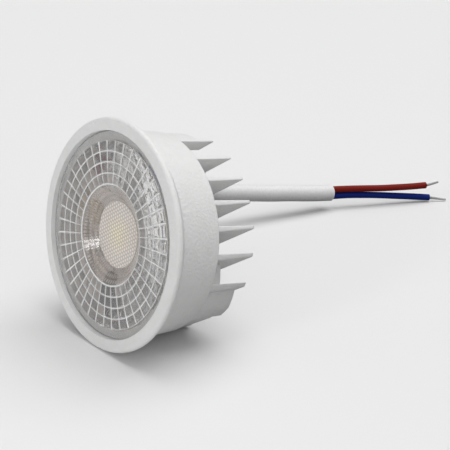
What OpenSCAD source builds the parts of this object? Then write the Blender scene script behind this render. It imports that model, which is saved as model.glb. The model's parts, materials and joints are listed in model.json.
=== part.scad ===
// LED spot module: a finned round housing with a faceted lens, a light engine on a round
// board, and a short two-core lead. It lies on its rim and its last fin, as on a table.
// Lengths along the housing's own axis run backwards from the rim's front plane and end in _s.
// The fins are parallel plates: "across" is the way they run, "up" is the way they are stacked.

/* [Rim and body] */
// Diameter of the rim
rim_d = 50; // [48:0.5:54]
// Rounding of the rim's front edge
lip_round = 0.7; // [0.3:0.1:1]
// Length of the rim's straight band
rim_band = 0.4; // [0.2:0.1:1]
// Where the slope behind the rim ends, measured from the front
lip_len = 3.4; // [2.6:0.1:5]
// Diameter of the body just behind the rim
body_d = 45.2; // [44.6:0.1:46.4]
// How far the opening in front of the lens lies inside the body's outside
opening_step = 0.4; // [0.2:0.1:0.8]
// Diameter of the body at its back edge
skirt_d = 44; // [43.4:0.1:45]
// Depth of the body without its fins
skirt_len = 12.8; // [12:0.1:16]
// Wall of the body where it is narrowest
skirt_wall = 1.6; // [1.2:0.1:2]
// Thickness of the floor that the board sits on
floor_t = 1.8; // [1.2:0.1:2.4]

/* [Fins] */
// Length of the fins behind the body
fin_len = 10.2; // [8:0.1:14]
// Distance from fin to fin
fin_pitch = 5.4; // [4.8:0.1:5.6]
// Number of fins on each side of the middle one
fin_side_count = 3; // [2:1:3]
// Thickness of a fin at its root
fin_root_t = 1.3; // [1:0.1:1.8]
// Thickness of a fin at its tip
fin_tip_t = 0.8; // [0.5:0.1:1]
// How far the fins lie inside the body's back edge
fin_inset = 0.15; // [0.05:0.05:0.6]
// How much the fins draw in towards their tips
fin_draft = 0.25; // [0.05:0.05:0.6]
// Rounding of the fins' outer tips
fin_tip_round = 0.5; // [0.3:0.1:1.5]
// How much shorter than the fins the brow and the sole are
cheek_short = 4; // [2:0.1:6]
// How much shorter than the fins the heel is
heel_short = 1.2; // [0.6:0.1:3]
// How much shorter than the fins the heel is above the last fin
shelf_short = 6; // [4:0.1:8]
// Distance of the heel's middle from the housing's axis
heel_place = 8; // [7.6:0.1:8.4]
// Radius of the heel at its root
heel_root_r = 15.2; // [14.8:0.1:15.6]
// Radius of the heel at its back
heel_tip_r = 14.6; // [14:0.1:14.8]
// Distance of the heel's flat sole from the housing's axis
sole_place = 21.1; // [20.6:0.1:21.4]
// Width of the notch behind the sole
notch_w = 10.6; // [6:0.2:12]
// Depth of the notch behind the sole
notch_depth = 2.2; // [1:0.1:3]
// Width of the bay in the brow where the lead comes out
bay_w = 18; // [14:0.5:22]
// How far the fins are turned about the housing's axis, in degrees
roll = 31; // [0:1:60]

/* [Lens] */
// Gap between the lens and the opening, all round
lens_gap = 0.2; // [0.1:0.05:0.4]
// How far the lens's flange lies behind the rim's front
lens_sink = 1; // [0.6:0.1:1.4]
// Thickness of the lens's flange
flange_t = 1; // [0.8:0.1:1.4]
// Width of the plain ring between the facets and the lens's edge
facet_edge = 1.8; // [1.6:0.1:2.4]
// Inner diameter of the faceted zone
facet_in_d = 21.8; // [20:0.2:24]
// Number of facets round the lens
facet_count = 40; // [24:2:48]
// Number of rings of facets
facet_rings = 4; // [2:1:5]
// Height of a facet
facet_h = 0.35; // [0.2:0.05:0.5]
// Width of the slope round a facet
facet_slope = 0.32; // [0.2:0.02:0.4]
// Width of the plain ring between the facets and the window's slope
window_land = 0.3; // [0.2:0.05:0.6]
// Diameter of the sunk window in the middle of the lens
window_d = 14.6; // [12:0.2:16]
// Depth of the window below the facets' foot
window_sink = 2.1; // [1.6:0.1:3]
// Gap between the lens's back and the wall of the body
shoulder_gap = 0.3; // [0.2:0.05:0.6]
// Width of the hollow over the light source
hollow_d = 12.4; // [12:0.2:13]
// Depth of the hollow over the light source
hollow_depth = 2.6; // [1.8:0.1:3]
// Wall round the hollow at the lens's foot
foot_wall = 1.2; // [0.8:0.1:2]
// Gap between the lens's foot and the board
foot_gap = 0.15; // [0.1:0.05:0.3]

/* [Light engine] */
// Thickness of the heat pad under the board
pad_t = 0.3; // [0.2:0.1:0.6]
// Thickness of the board
board_t = 1; // [0.8:0.1:1.6]
// Gap between the board and the wall of the body
board_gap = 0.8; // [0.4:0.1:1.2]
// Diameter of the light source's base
base_d = 11; // [10:0.2:11.6]
// Thickness of the light source's base
base_t = 0.6; // [0.4:0.1:1]
// Diameter of the dam round the phosphor
dam_d = 9.6; // [8:0.2:9.8]
// Width of the dam
dam_w = 0.6; // [0.4:0.1:1]
// Height of the dam
dam_h = 0.4; // [0.3:0.1:0.6]
// How far the phosphor lies below the dam's top
phosphor_sink = 0.1; // [0.05:0.05:0.2]
// Distance of the board screws from the middle
screw_place = 14; // [13:0.1:15]
// Diameter of the board screws' thread
screw_d = 2.5; // [2:0.1:3]
// Length of the board screws below their heads
screw_len = 5; // [4:0.1:6]
// Gap round the board screws' thread in the housing
thread_gap = 0.05; // [0.05:0.05:0.1]
// Gap round the board screws in the board
screw_gap = 0.2; // [0.1:0.05:0.4]
// Diameter of the board screws' heads
screw_head_d = 4.6; // [4:0.1:5]
// Height of the board screws' heads
screw_head_h = 1.4; // [1:0.1:1.8]
// Wall of the bosses that the board screws go into
boss_wall = 1.5; // [1:0.1:2]
// Distance of the driver's parts from the board's edge
part_edge = 4.2; // [3.8:0.1:4.4]

/* [Lead] */
// Diameter of the lead's sheath
sheath_d = 5; // [4.4:0.1:5.4]
// Diameter of each core
core_d = 2; // [1.6:0.1:2.2]
// Diameter of the bare strands at a core's end
strand_d = 1; // [0.6:0.1:1.2]
// Gap between the grommet's lips and the wall of the body
outlet_gap = 0.7; // [0.4:0.1:1]
// Gap between the lead and the grommet
lead_gap = 0.1; // [0.05:0.05:0.2]
// Wall of the grommet in its hole
grommet_wall = 0.7; // [0.5:0.1:0.9]
// Gap between the grommet and its hole
grommet_gap = 0.05; // [0.05:0.05:0.1]
// Width of the grommet's lips beyond its hole
grommet_lip = 0.8; // [0.5:0.1:0.9]
// Thickness of the grommet's lips
grommet_lip_t = 0.9; // [0.6:0.1:1]
// Length of the grommet behind the floor
grommet_len = 4; // [3:0.5:5]
// Radius of the bends that the cores take to the board
tail_bend = 2.4; // [2.2:0.1:2.6]
// Height of the solder joints
solder_h = 0.5; // [0.3:0.1:0.8]

/* [Hidden] */
$fn = 96;
sheath_sides = 12;
core_sides = 8;
// how deep one shape reaches into the next where they are one solid
merge = 0.2;

// the body and its fins
rim_r = rim_d / 2;
band_end_s = lip_round + rim_band;
body_r = body_d / 2;
opening_r = body_r - opening_step;
skirt_r = skirt_d / 2;
cavity_r = min(body_r, skirt_r) - skirt_wall;
floor_s = skirt_len - floor_t;
fin_s = skirt_len + fin_len;
fin_root_r = skirt_r - fin_inset;
fin_tip_r = fin_root_r - fin_draft;
last_fin = fin_side_count * fin_pitch;
cheek_s = fin_s - cheek_short;
heel_s = fin_s - heel_short;
shelf_s = fin_s - shelf_short;
function outline_r(s) =
    fin_root_r - fin_draft * (s - skirt_len + merge) / (fin_len - fin_tip_round + merge);
function fin_half_t(s) = (fin_root_t + (fin_tip_t - fin_root_t) * (s - skirt_len) / fin_len) / 2;

// the lens and the light engine, from the floor forwards
pad_s = floor_s - pad_t;
board_s = pad_s - board_t;
base_s = board_s - base_t;
dam_s = base_s - dam_h;
board_r = cavity_r - board_gap;
flange_r = opening_r - lens_gap;
seat_s = lens_sink + flange_t;
facet_in_r = facet_in_d / 2;
facet_out_r = flange_r - facet_edge;
facet_foot_s = lens_sink + 0.06;
window_s = lens_sink + window_sink;
shoulder_r = cavity_r - shoulder_gap;
hollow_r = hollow_d / 2;
foot_r = hollow_r + foot_wall;
foot_s = board_s - foot_gap;
hollow_s = foot_s - hollow_depth;
back_steps = 8;
back_bend = 1.2;
part_place = board_r - part_edge;
screw_r = screw_d / 2;
screw_end_s = board_s + screw_len;
screw_turns = [0, 180];

// the driver's parts: turn about the axis, then size outwards, round and forwards
fuse_at = [38, [2.6, 6, 2]];
surge_absorber_at = [142, [4.4, 5.6, 2.2]];
bridge_rectifier_at = [222, [3.9, 4.8, 2.2]];
driver_chip_at = [318, [3.9, 4.9, 1.6]];
sense_resistor_turns = [256, 270, 284];
sense_resistor_size = [3.2, 1.6, 0.6];
lead_out = 0.9;
lead_t = 0.3;

// the lead
sheath_r = sheath_d / 2;
core_r = core_d / 2;
strand_r = strand_d / 2;
grommet_bore_r = sheath_r + lead_gap;
grommet_r = grommet_bore_r + grommet_wall;
grommet_lip_r = grommet_r + grommet_lip;
grommet_end_s = skirt_len + grommet_len;
outlet_place = cavity_r - grommet_lip_r - outlet_gap;
wire_notch_r = grommet_lip_r + screw_gap;
tail_s = board_s - solder_h;
solder_foot_r = core_r + 0.4;

// attitude on the table, where the rim's band touches it and one of these: the last fin's lower
// corner, the heel's back edge or the sole's back corner, each given across, down and along the axis
function half_chord(r, place) = sqrt(r * r - place * place);
last_corner = [for (turn = [0 : 6 : 60])
    let (r = fin_tip_r + fin_tip_round * (cos(turn) - 1), s = fin_s + fin_tip_round * (sin(turn) - 1),
         down = last_fin + fin_half_t(s))
    [half_chord(r, down), down, s]];
heel_edge = [for (turn = [0 : 3 : 60])
    let (side = heel_tip_r * sin(turn), down = heel_place + heel_tip_r * cos(turn))
    if (side > notch_w / 2 && norm([side, down]) < outline_r(heel_s)) [side, down, heel_s]];
sole_corner = [half_chord(outline_r(cheek_s), sole_place), sole_place, cheek_s];
function table_slope(place) =
    atan((rim_r - place.x * sin(roll) - place.y * cos(roll)) / (place.z - band_end_s));
tilt = min([for (place = concat(last_corner, heel_edge, [sole_corner])) table_slope(place)]);
lift = rim_r * cos(tilt) + band_end_s * sin(tilt);
front_y = -(rim_r - lip_round) * sin(tilt) + lip_round * cos(tilt) - lip_round;
top_fin_turn = roll + asin((last_fin + fin_tip_t / 2) / fin_tip_r);
back_y = (fin_tip_r - fin_tip_round) * sin(top_fin_turn) * sin(tilt)
       + (fin_s - fin_tip_round) * cos(tilt) + fin_tip_round;
middle_y = (front_y + back_y) / 2;

// a place "up" from the axis and "s" along it, in the table's frame
function on_table(up, s) = [
    -up * sin(roll),
    up * cos(roll) * sin(tilt) + s * cos(tilt) - middle_y,
    up * cos(roll) * cos(tilt) - s * sin(tilt) + lift];

// middle lines of the lead, its cores and their bare ends, as they lie on the table
sheath_route = [
    on_table(outlet_place, tail_s), on_table(outlet_place, skirt_len),
    on_table(outlet_place, grommet_end_s + 1),
    [-9, 16, 33.5], [-12.5, 22, 31], [-17.5, 27, 28.5], [-23, 30.5, 25.5], [-29.5, 33, 22],
    [-35, 36.5, 18.5], [-39, 42, 15], [-41.5, 48.5, 12.5], [-42, 55.5, 10.5], [-41.5, 61, 9.5],
    [-40.5, 67, 8.5], [-39, 72.5, 7.7], [-37.5, 78.5, 6.9], [-36, 84.5, 6], [-34.5, 92, 5]];
live_route = [[-34.3, 92.5, 6], [-32.2, 96.5, 5.9], [-29.5, 101.5, 5.7], [-27, 106.5, 5.4],
    [-24.7, 111, 5.3], [-22.6, 115.5, 5.2], [-20.6, 120, 5.2]];
live_strand_route = [[-20.4, 120.4, 5.2], [-19.9, 122.2, 5.4], [-19.5, 124.6, 5.6]];
neutral_route = [[-34.3, 92.5, 3.9], [-32.4, 96.7, 3.8], [-29.8, 101.7, 3.5], [-27.2, 106.8, 3],
    [-25, 111.4, 2.4], [-22.6, 115.8, 1.9], [-19.6, 120.8, 1.3]];
neutral_strand_route = [[-19.3, 121.2, 1.2], [-18.1, 122.9, 0.9], [-16.2, 124.9, 0.6]];

// takes a shape from the housing's own axis to its place on the table
module on_axis() {
    translate([0, -middle_y, lift]) rotate([-90 - tilt, 0, 0]) rotate([0, 0, 180 - roll]) children();
}

// a round slice between two places along the axis
module slice(r, from_s, to_s) {
    translate([0, 0, from_s]) cylinder(r = r, h = to_s - from_s);
}

// section of the rim, the body and its floor
module body_section() {
    difference() {
        union() {
            translate([rim_r - lip_round, lip_round]) circle(lip_round);
            polygon([[0, 0], [rim_r - lip_round, 0], [rim_r - lip_round, lip_round], [rim_r, lip_round],
                     [rim_r, band_end_s], [body_r, lip_len], [skirt_r, skirt_len], [0, skirt_len]]);
        }
        translate([0, -merge]) square([opening_r, seat_s + merge]);
        square([cavity_r, floor_s]);
    }
}

// the round outline that the fins are cut to, with rounded tips
module fin_outline() {
    rotate_extrude() {
        polygon([[0, skirt_len - merge], [fin_root_r, skirt_len - merge],
                 [fin_tip_r, fin_s - fin_tip_round], [fin_tip_r - fin_tip_round, fin_s], [0, fin_s]]);
        translate([fin_tip_r - fin_tip_round, fin_s - fin_tip_round]) circle(fin_tip_round);
    }
}

// one fin, tapered and with a round tip
module fin_plate(up) {
    tip_s = fin_s - fin_tip_t / 2;
    translate([0, up, 0]) rotate([90, 0, 90]) linear_extrude(height = 2 * skirt_r, center = true) {
        polygon([[-fin_root_t / 2, skirt_len - merge], [fin_root_t / 2, skirt_len - merge],
                 [fin_tip_t / 2, tip_s], [-fin_tip_t / 2, tip_s]]);
        translate([0, tip_s]) circle(fin_tip_t / 2);
    }
}

// the segment above the first fin, before it is cut round
module brow() {
    translate([-skirt_r, last_fin, 0]) cube([2 * skirt_r, skirt_r, cheek_s]);
}

// the rounded block under the last fin, with a low shelf above that fin and a flat sole
module heel() {
    difference() {
        intersection() {
            translate([0, -heel_place, skirt_len - merge])
                cylinder(r1 = heel_root_r, r2 = heel_tip_r, h = heel_s - skirt_len + merge);
            union() {
                translate([-skirt_r, -last_fin - skirt_r, 0]) cube([2 * skirt_r, skirt_r, heel_s]);
                translate([-skirt_r, -last_fin - merge, 0])
                    cube([2 * skirt_r, fin_pitch + merge, shelf_s]);
            }
        }
        translate([-skirt_r, -sole_place - skirt_r, 0]) cube([2 * skirt_r, skirt_r, 2 * fin_s]);
        translate([-notch_w / 2, -sole_place, cheek_s]) cube([notch_w, notch_depth, fin_s]);
    }
}

module fins() {
    intersection() {
        fin_outline();
        difference() {
            union() {
                for (i = [-fin_side_count : fin_side_count]) fin_plate(i * fin_pitch);
                brow();
                heel();
            }
            translate([-bay_w / 2, last_fin - fin_pitch / 2, 0]) cube([bay_w, skirt_r, 2 * fin_s]);
            translate([0, outlet_place, 0]) slice(wire_notch_r, 0, 2 * fin_s);
        }
    }
}

module housing() {
    color("whitesmoke") on_axis() difference() {
        union() {
            rotate_extrude() body_section();
            fins();
            for (turn = screw_turns) rotate([0, 0, turn]) translate([screw_place, 0, 0])
                slice(screw_r + boss_wall, floor_s + merge, screw_end_s + boss_wall);
        }
        translate([0, outlet_place, 0]) slice(grommet_r + grommet_gap, floor_s - merge, skirt_len + merge);
        for (turn = screw_turns) rotate([0, 0, turn]) translate([screw_place, 0, 0])
            slice(screw_r + thread_gap, floor_s - merge, screw_end_s + merge);
    }
}

// curved back of the lens from its shoulder to its foot
function lens_back(i) = let (u = i / back_steps)
    [foot_r + (shoulder_r - foot_r) * (1 - pow(u, back_bend)), seat_s + (foot_s - seat_s) * u];

module lens_section() {
    polygon(concat(
        [[0, window_s], [window_d / 2, window_s], [facet_in_r - window_land, lens_sink],
         [flange_r, lens_sink], [flange_r, seat_s]],
        [for (i = [0 : back_steps]) lens_back(i)],
        [[hollow_r, foot_s], [hollow_r, hollow_s], [0, hollow_s]]));
}

// a point in the facets' pattern: distance out along a spoke, and to one side of it
function spoke(out, aside, turn, s) =
    [out * cos(turn) - aside * sin(turn), out * sin(turn) + aside * cos(turn), s];

// the rings of bevelled facets that stand on the lens's front, with their feet just inside it
module facets() {
    step = (facet_out_r - facet_in_r) / facet_rings;
    turn = 360 / facet_count;
    foot = [for (k = [0 : facet_rings], j = [0 : facet_count - 1])
        spoke(facet_in_r + k * step, 0, j * turn, facet_foot_s)];
    top = [for (k = [0 : facet_rings - 1], j = [0 : facet_count - 1], side = [0, 1], end = [0, 1])
        spoke(facet_in_r + (k + end) * step + (1 - 2 * end) * facet_slope, (1 - 2 * side) * facet_slope,
              (j + side) * turn, lens_sink - facet_h)];
    under = [for (r = [facet_in_r, facet_out_r], j = [0 : facet_count - 1])
        spoke(r, 0, j * turn, facet_foot_s + merge)];
    first_top = len(foot);
    first_under = len(foot) + len(top);
    ring = function (k, j) k * facet_count + j % facet_count;
    cap = function (k, j, corner) first_top + 4 * (k * facet_count + j) + corner;
    base = function (edge, j) first_under + edge * facet_count + j % facet_count;
    faces = [for (j = [0 : facet_count - 1]) each concat(
        [for (k = [0 : facet_rings - 1]) each [
            [cap(k, j, 0), cap(k, j, 1), cap(k, j, 3), cap(k, j, 2)],
            [ring(k, j), cap(k, j, 0), cap(k, j, 2), ring(k, j + 1)],
            [ring(k, j + 1), cap(k, j, 2), cap(k, j, 3), ring(k + 1, j + 1)],
            [ring(k + 1, j + 1), cap(k, j, 3), cap(k, j, 1), ring(k + 1, j)],
            [ring(k + 1, j), cap(k, j, 1), cap(k, j, 0), ring(k, j)]]],
        [[base(0, j), base(0, j + 1), base(1, j + 1), base(1, j)],
         [ring(0, j), ring(0, j + 1), base(0, j + 1), base(0, j)],
         [ring(facet_rings, j + 1), ring(facet_rings, j), base(1, j), base(1, j + 1)]])];
    polyhedron(concat(foot, top, under), faces);
}

module lens() {
    color("aliceblue") on_axis() {
        rotate_extrude() lens_section();
        facets();
    }
}

// the board's outline, open where the lead and the screws pass
module board_slice(from_s, to_s) {
    difference() {
        slice(board_r, from_s, to_s);
        translate([0, outlet_place, 0]) slice(wire_notch_r, from_s - merge, to_s + merge);
        for (turn = screw_turns) rotate([0, 0, turn]) translate([screw_place, 0, 0])
            slice(screw_r + screw_gap, from_s - merge, to_s + merge);
    }
}

module heat_pad() {
    color("lightgrey") on_axis() board_slice(pad_s, floor_s);
}

module board() {
    color("white") on_axis() board_slice(board_s, pad_s);
}

module source_base() {
    color("gainsboro") on_axis() slice(base_d / 2, base_s, board_s);
}

module source_dam() {
    color("white") on_axis() difference() {
        slice(dam_d / 2, dam_s, base_s);
        slice(dam_d / 2 - dam_w, dam_s - merge, base_s + merge);
    }
}

module source_phosphor() {
    color("gold") on_axis() slice(dam_d / 2 - dam_w, dam_s + phosphor_sink, base_s);
}

module board_screw(turn) {
    color("silver") on_axis() rotate([0, 0, turn]) translate([screw_place, 0, 0]) difference() {
        union() {
            slice(screw_head_d / 2, board_s - screw_head_h, board_s);
            slice(screw_r, board_s, screw_end_s);
        }
        for (turn = [0, 90]) rotate([0, 0, turn])
            translate([-screw_head_d / 3, -screw_r / 4, board_s - screw_head_h - merge])
            cube([screw_head_d * 2 / 3, screw_r / 2, screw_head_h / 2 + merge]);
    }
}

// a part of the driver on the board, with the tabs it is soldered by
module driver_part(turn, size, tabs) {
    on_axis() rotate([0, 0, turn]) translate([part_place, 0, board_s - size.z / 2]) {
        cube(size, center = true);
        for (i = [1 : tabs]) translate([0, size.y * ((i - 0.5) / tabs - 0.5), size.z / 2 - lead_t / 2])
            cube([size.x + 2 * lead_out, size.y / tabs / 2, lead_t], center = true);
    }
}

module fuse() {
    color("tan") driver_part(fuse_at[0], fuse_at[1], 1);
}

module surge_absorber() {
    color("royalblue") driver_part(surge_absorber_at[0], surge_absorber_at[1], 1);
}

module bridge_rectifier() {
    color("dimgrey") driver_part(bridge_rectifier_at[0], bridge_rectifier_at[1], 2);
}

module driver_chip() {
    color("dimgrey") driver_part(driver_chip_at[0], driver_chip_at[1], 4);
}

module sense_resistors() {
    color("darkslategrey") for (turn = sense_resistor_turns) driver_part(turn, sense_resistor_size, 1);
}

// a core's inner end, bent over from the lead to the board
module tail(side) {
    on_axis() translate([side * (core_r + tail_bend), outlet_place, tail_s]) rotate([-90, 0, 0])
        rotate_extrude(angle = 180) translate([tail_bend, 0]) circle(core_r);
}

module live_tail() {
    color("saddlebrown") tail(1);
}

module neutral_tail() {
    color("midnightblue") tail(-1);
}

module solder_joints() {
    color("silver") on_axis() for (side = [-1, 1])
        translate([side * (core_r + 2 * tail_bend), outlet_place, tail_s])
        cylinder(r1 = core_r, r2 = solder_foot_r, h = solder_h);
}

module grommet() {
    color("white") on_axis() translate([0, outlet_place, 0]) rotate_extrude()
        polygon([[grommet_bore_r, floor_s - grommet_lip_t], [grommet_lip_r, floor_s - grommet_lip_t],
                 [grommet_lip_r, floor_s], [grommet_r, floor_s], [grommet_r, skirt_len],
                 [grommet_lip_r, skirt_len], [grommet_lip_r, skirt_len + grommet_lip_t],
                 [grommet_r, skirt_len + grommet_lip_t], [grommet_bore_r + grommet_wall / 2, grommet_end_s],
                 [grommet_bore_r, grommet_end_s]]);
}

// direction of a route at point i, along its neighbours
function unit(v) = v / norm(v);
function heading(route, i) = unit(route[min(i + 1, len(route) - 1)] - route[max(i - 1, 0)]);

// one tube along a route, with a ring of corners at each of its points
module tube(route, r, sides) {
    last = len(route) - 1;
    points = [for (i = [0 : last])
        let (ahead = heading(route, i), flat = unit(cross(ahead, [0, 0, 1])), high = cross(flat, ahead))
        for (j = [0 : sides - 1]) let (turn = 360 * (j + 0.5) / sides)
            route[i] + r * (cos(turn) * flat + sin(turn) * high)];
    corner = function (i, j) i * sides + j % sides;
    walls = [for (i = [0 : last - 1], j = [0 : sides - 1])
        [corner(i, j), corner(i, j + 1), corner(i + 1, j + 1), corner(i + 1, j)]];
    start = [for (j = [sides - 1 : -1 : 0]) corner(0, j)];
    end = [for (j = [0 : sides - 1]) corner(last, j)];
    polyhedron(points, concat([start], walls, [end]));
}

module sheath() {
    color("white") tube(sheath_route, sheath_r, sheath_sides);
}

module live_core() {
    color("saddlebrown") tube(live_route, core_r, core_sides);
}

module neutral_core() {
    color("midnightblue") tube(neutral_route, core_r, core_sides);
}

module live_strands() {
    color("lightgrey") tube(live_strand_route, strand_r, core_sides);
}

module neutral_strands() {
    color("lightgrey") tube(neutral_strand_route, strand_r, core_sides);
}

housing();
lens();
heat_pad();
board();
source_base();
source_dam();
source_phosphor();
board_screw(screw_turns[0]);  // board_screw_1
board_screw(screw_turns[1]);  // board_screw_2
fuse();
surge_absorber();
bridge_rectifier();
driver_chip();
sense_resistors();
live_tail();
neutral_tail();
solder_joints();
grommet();
sheath();
live_core();
neutral_core();
live_strands();
neutral_strands();
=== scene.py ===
# %% [markdown]
# # A round LED spot module
# The part is a white finned housing with a clear faceted lens in its rim and a short two-core
# lead. The CAD model gives every solid its size and place. This lesson dresses it: the housing's
# CAD mesh gets rounded fins and a powder coat, while the lens, the lead and its bare wires are
# built again here, because their looks depend on finer shapes than a solid model carries.

# %% Load the frame
import json
import math

import bmesh
import bpy
from mathutils import Matrix, Vector


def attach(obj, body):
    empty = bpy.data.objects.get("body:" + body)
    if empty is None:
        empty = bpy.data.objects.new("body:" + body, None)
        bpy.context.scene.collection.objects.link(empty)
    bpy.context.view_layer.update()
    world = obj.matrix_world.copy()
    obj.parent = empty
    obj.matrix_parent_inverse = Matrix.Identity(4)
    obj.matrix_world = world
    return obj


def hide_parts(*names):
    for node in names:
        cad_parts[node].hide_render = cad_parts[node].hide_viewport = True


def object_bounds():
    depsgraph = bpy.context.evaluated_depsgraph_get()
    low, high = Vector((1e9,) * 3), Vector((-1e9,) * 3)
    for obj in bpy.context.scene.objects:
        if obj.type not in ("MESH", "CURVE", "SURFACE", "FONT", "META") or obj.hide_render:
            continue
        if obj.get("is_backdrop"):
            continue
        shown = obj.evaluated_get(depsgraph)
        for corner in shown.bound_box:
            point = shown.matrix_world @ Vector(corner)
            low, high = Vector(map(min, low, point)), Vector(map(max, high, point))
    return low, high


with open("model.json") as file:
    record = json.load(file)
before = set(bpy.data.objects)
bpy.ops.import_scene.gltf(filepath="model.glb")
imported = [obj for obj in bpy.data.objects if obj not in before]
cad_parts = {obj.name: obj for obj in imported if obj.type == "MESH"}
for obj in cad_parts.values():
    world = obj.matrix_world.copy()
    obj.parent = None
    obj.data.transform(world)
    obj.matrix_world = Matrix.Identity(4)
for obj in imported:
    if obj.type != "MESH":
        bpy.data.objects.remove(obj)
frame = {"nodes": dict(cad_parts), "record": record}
cad_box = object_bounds()
MM = 0.001
cad_size = [round(side / MM, 1) for side in cad_box[1] - cad_box[0]]
print("nodes:", len(frame["nodes"]), "box in mm:", cad_size)

# %% [markdown]
# ## The housing's own axis
# The module lies on its rim and its last fin, so its axis leans back and its fins are rolled to
# one side. Everything on the optical axis is easier to build upright and to place once. The packed
# record names the front ring as a mount, with a point on it and its outward normal, and that is
# enough to rebuild the axis system: across the fins, up through their stack, and back from the
# front.

# %% Axis system
FIN_ROLL = math.radians(31)
mounts = {mount["name"]: mount for mount in frame["record"]["mounts"]}
facing = Vector(mounts["front_ring"]["axis"])
ring_point = Vector(mounts["front_ring"]["pos_m"])
front_centre = Vector((0, ring_point.y, ring_point.z))
sideways = Vector((1, 0, 0))
leaning_up = Vector((0, facing.z, -facing.y))
across = -(sideways * math.cos(FIN_ROLL) + leaning_up * math.sin(FIN_ROLL))
up = leaning_up * math.cos(FIN_ROLL) - sideways * math.sin(FIN_ROLL)
rolled = Matrix((across, up, -facing)).transposed().to_4x4()
axis_to_row = Matrix.Translation(front_centre) @ rolled
print("lean of the axis:", round(math.degrees(math.asin(facing.z)), 2), "degrees")

# %% [markdown]
# ## The camera
# The photograph was taken from the front right, a little above the table. A camera could be moved
# by eye until the picture fits. This viewpoint was worked out from the rim's ellipse and the rows
# of fins instead, because they fix the turn, the height and the distance.

# %% Camera
CAMERA_TURN = math.radians(50.33)
CAMERA_RISE = math.radians(19.45)
CAMERA_FROM_FRONT = Vector((169.0, -107.4, 72.5)) * MM
CAMERA_LENS = 80
SENSOR_WIDTH = 36
NEAREST_SEEN = 5 * MM


def add_object(name, data):
    """A new object in the scene."""
    made = bpy.data.objects.new(name, data)
    bpy.context.scene.collection.objects.link(made)
    return made


backwards = Vector((math.sin(CAMERA_TURN) * math.cos(CAMERA_RISE),
                    -math.cos(CAMERA_TURN) * math.cos(CAMERA_RISE),
                    math.sin(CAMERA_RISE)))
camera_data = bpy.data.cameras.new("photo_camera")
camera_data.lens = CAMERA_LENS
camera_data.sensor_width = SENSOR_WIDTH
camera_data.clip_start = NEAREST_SEEN
camera = add_object("photo_camera", camera_data)
camera.location = front_centre + CAMERA_FROM_FRONT
camera.rotation_euler = (-backwards).to_track_quat("-Z", "Y").to_euler()
bpy.context.scene.camera = camera
print("from the camera to the front ring in mm:", round(CAMERA_FROM_FRONT.length / MM))

# %% [markdown]
# ## Nodes as expressions
# Materials and geometry trees are graphs, but most of what they do is arithmetic. Adding each Math
# node by hand would hide the formula. So one class wraps a socket and turns Python operators into
# Math nodes. The reflected forms let a plain number stand on the left, as in 1 - mask.

# %% Values
class Value:
    """One output socket. Arithmetic on it adds Math nodes to its tree."""

    def __init__(self, graph, socket):
        self.graph = graph
        self.socket = socket

    def math(self, operation, *others):
        inputs = dict(enumerate((self,) + others))
        return self.graph.node("ShaderNodeMath", {"operation": operation}, inputs)[0]

    def __add__(self, other):
        return self.math("ADD", other)

    def __radd__(self, other):
        return self.math("ADD", other)

    def __sub__(self, other):
        return self.math("SUBTRACT", other)

    def __rsub__(self, other):
        return self.graph.node("ShaderNodeMath", {"operation": "SUBTRACT"}, {0: other, 1: self})[0]

    def __mul__(self, other):
        return self.math("MULTIPLY", other)

    def __rmul__(self, other):
        return self.math("MULTIPLY", other)

    def __truediv__(self, other):
        return self.math("DIVIDE", other)

    def __pow__(self, other):
        return self.math("POWER", other)

    def __gt__(self, other):
        return self.math("GREATER_THAN", other)

    def __lt__(self, other):
        return self.math("LESS_THAN", other)


print("made:", Value.__name__, "with the operators + - * / ** > <")

# %% [markdown]
# ## Any other node
# All other nodes come from one method. It takes the node's type, then its settings, which come
# first because some of them change the sockets, and then the values or links of its sockets.

# %% Graphs
class Graph:
    """A node tree that is being built."""

    def __init__(self, tree):
        self.tree = tree

    def node(self, kind, settings=None, inputs=None):
        made = self.tree.nodes.new(kind)
        for name, setting in (settings or {}).items():
            if name == "stops":
                set_ramp(made.color_ramp, setting)
            else:
                setattr(made, name, setting)
        self.feed(made, inputs or {})
        return Outputs(self, made)

    def feed(self, made, inputs):
        """Links values to a node's sockets, or sets them."""
        for key, value in inputs.items():
            if isinstance(value, Value):
                self.tree.links.new(value.socket, made.inputs[key])
            else:
                made.inputs[key].default_value = value


class Outputs:
    """The output sockets of a node, by name or number."""

    def __init__(self, graph, made):
        self.graph = graph
        self.made = made

    def __getitem__(self, key):
        return Value(self.graph, self.made.outputs[key])


def set_ramp(ramp, stops):
    """Gives a colour ramp its stops: pairs of a place and a colour."""
    while len(ramp.elements) < len(stops):
        ramp.elements.new(1)
    for element, (place, colour) in zip(ramp.elements, stops):
        element.position = place
        element.color = (*colour, 1)


print("made:", Graph.__name__, "and", Outputs.__name__)

# %% [markdown]
# ## The floor
# The photograph is a product shot on a sheet of white paper. A floor that is plain white for every
# ray would light the fins from below until they look flat. So the paper shows its white to the
# camera, to reflections and through the clear lens, and throws less light back, which keeps the
# fins' undersides dark. Only in front of the rim it throws back more, because there the open sheet
# lights the front ring.

# %% Floor
PAPER_SEEN = (0.80, 0.80, 0.80, 1)
PAPER_BOUNCE = (0.13, 0.13, 0.13, 1)
PAPER_FRONT = (0.95, 0.95, 0.95, 1)
PAPER_ROUGHNESS, PAPER_SPECULAR = 0.9, 0.1
OPEN_FRONT = (-0.457, -0.89, 0)
FRONT_START, FRONT_END = -20 * MM, 20 * MM
FLOOR_REACH = 3.0


def finish_of(name):
    """A new material with a Principled shader: its graph, the shader's node and the material."""
    material = bpy.data.materials.new(name)
    material.use_nodes = True
    shader = material.node_tree.nodes["Principled BSDF"]
    return Graph(material.node_tree), shader, material


def vector_math(graph, operation, *inputs):
    """The outputs of a Vector Math node."""
    return graph.node("ShaderNodeVectorMath", {"operation": operation}, dict(enumerate(inputs)))


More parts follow.
